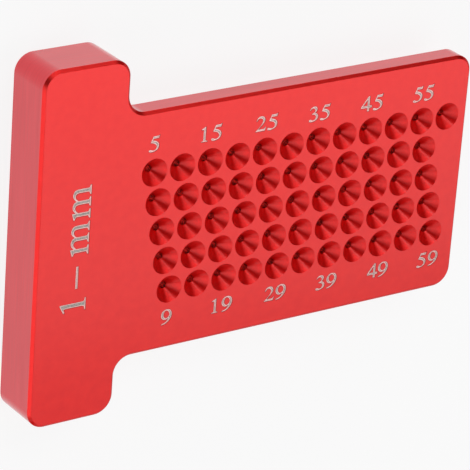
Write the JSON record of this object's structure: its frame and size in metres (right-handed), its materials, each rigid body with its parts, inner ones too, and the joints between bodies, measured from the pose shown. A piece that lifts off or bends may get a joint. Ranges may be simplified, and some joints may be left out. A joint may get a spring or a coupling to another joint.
{
  "type": "marking t-square",
  "caption": "Small anodised aluminium marking T-square: a thick fence with a hooking lip, and a flat blade with staggered rows of conical pencil holes that mark distances from the lip.",
  "frame": {"origin": "zero of the scale, where the lip's guide face, the underside of the blade and the middle row of marking holes meet", "axes": "+X out along the blade away from the fence, +Y along the fence towards the first row of holes, +Z out of the numbered face"},
  "size_m": [0.079, 0.058, 0.009],
  "materials": {
    "anodised_aluminium": "satin red anodised, with the numbers engraved through to bare metal"
  },
  "bodies": {
    "root": {"t_square": "anodised_aluminium"}
  },
  "joints": []
}
